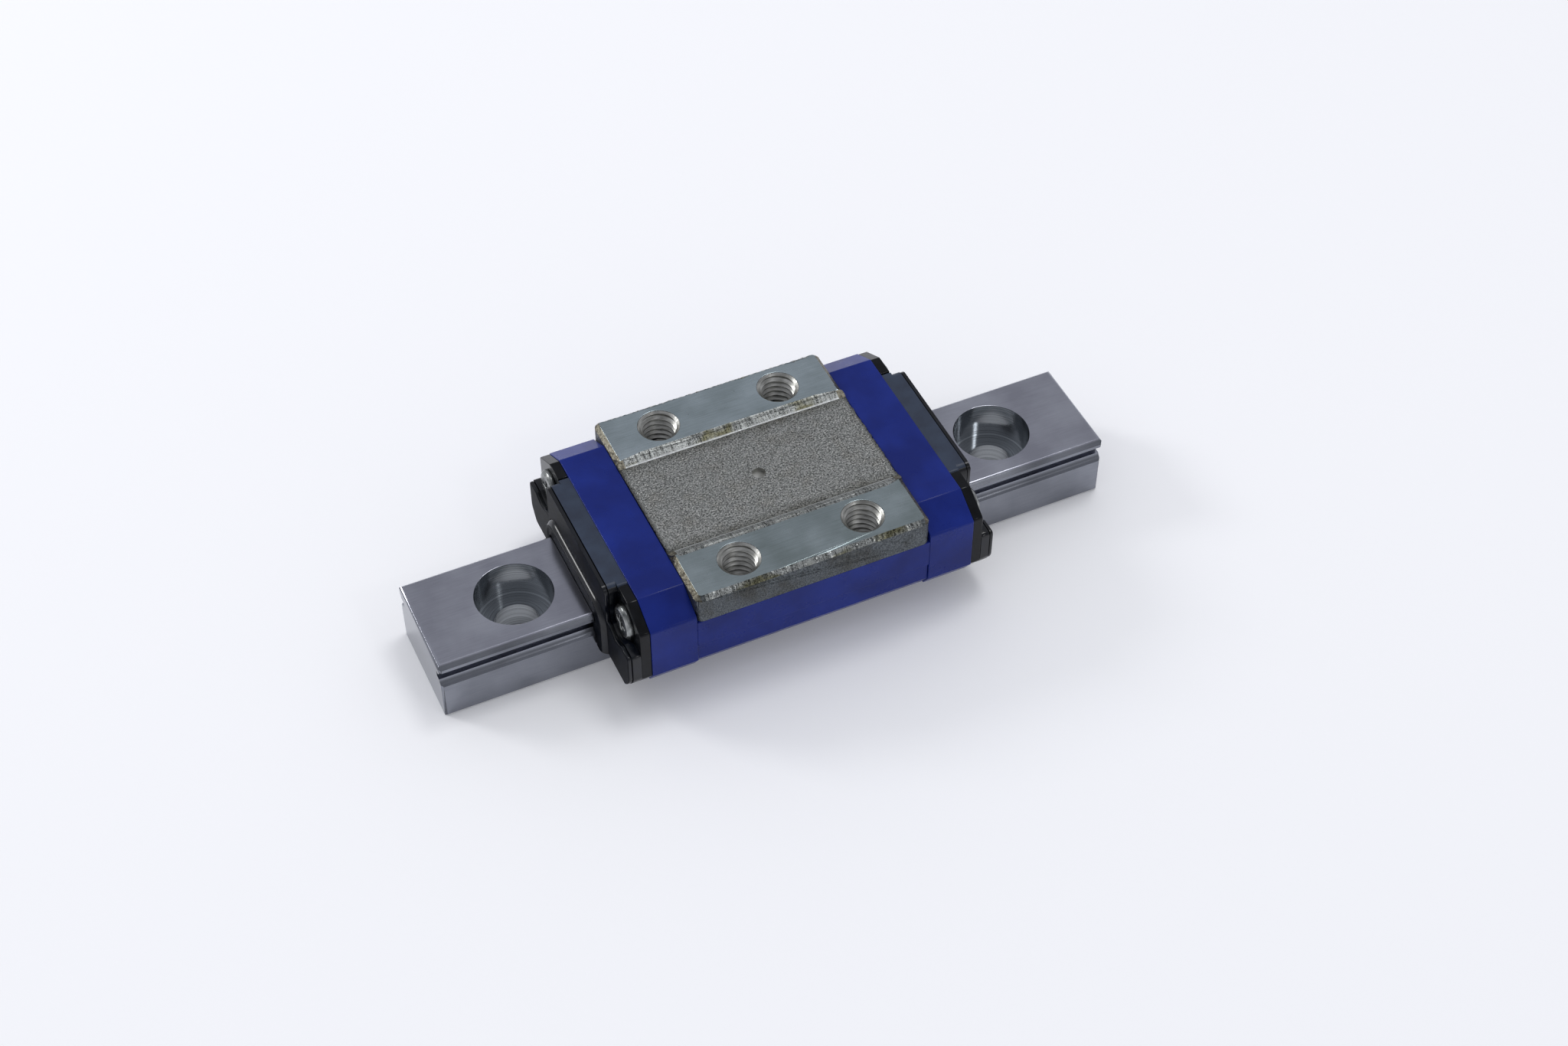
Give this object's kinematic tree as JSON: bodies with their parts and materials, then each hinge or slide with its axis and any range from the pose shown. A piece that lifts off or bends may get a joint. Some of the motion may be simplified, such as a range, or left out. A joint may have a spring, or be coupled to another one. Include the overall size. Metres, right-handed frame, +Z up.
{
  "type": "miniature linear guide block and rail",
  "caption": "Miniature linear ball guide: a steel block with moulded end caps and rubber end seals slides on a short counterbored rail.",
  "frame": {"origin": "centre of the rail's underside, with the block at the middle of its travel", "axes": "+X along the rail and the block's travel, +Y across the rail, +Z up, out of the block's mounting pads"},
  "size_m": [0.055, 0.02, 0.01],
  "materials": {
    "rail_steel": "ground hardened steel, satin",
    "block_steel": "hardened steel, ground pads and a blasted recess",
    "blue_resin": "moulded engineering resin, semi gloss",
    "guide_resin": "moulded acetal, natural",
    "ball_steel": "lapped bearing steel",
    "wire_steel": "drawn stainless spring wire",
    "seal_plate_black": "black, semi gloss",
    "seal_rubber": "moulded nitrile rubber",
    "screw_steel": "oiled steel"
  },
  "bodies": {
    "rail": {"rail": "rail_steel"},
    "carriage": {"slider_body": "block_steel", "side_frame_front": "blue_resin", "side_frame_rear": "blue_resin", "end_cap_left": "blue_resin", "end_cap_right": "blue_resin", "return_guide_left_front": "guide_resin", "return_guide_left_rear": "guide_resin", "return_guide_right_front": "guide_resin", "return_guide_right_rear": "guide_resin", "balls_front": "ball_steel", "balls_rear": "ball_steel", "retaining_wire_front": "wire_steel", "retaining_wire_rear": "wire_steel", "seal_plate_left": "seal_plate_black", "seal_plate_right": "seal_plate_black", "seal_lip_left": "seal_rubber", "seal_lip_right": "seal_rubber", "cap_screws_left": "screw_steel", "cap_screws_right": "screw_steel"}
  },
  "joints": [
    {"name": "carriage_slide", "type": "slide", "parent": "rail", "child": "carriage", "axis": [1, 0, 0], "range_m": [-0.012, 0.012]}
  ]
}
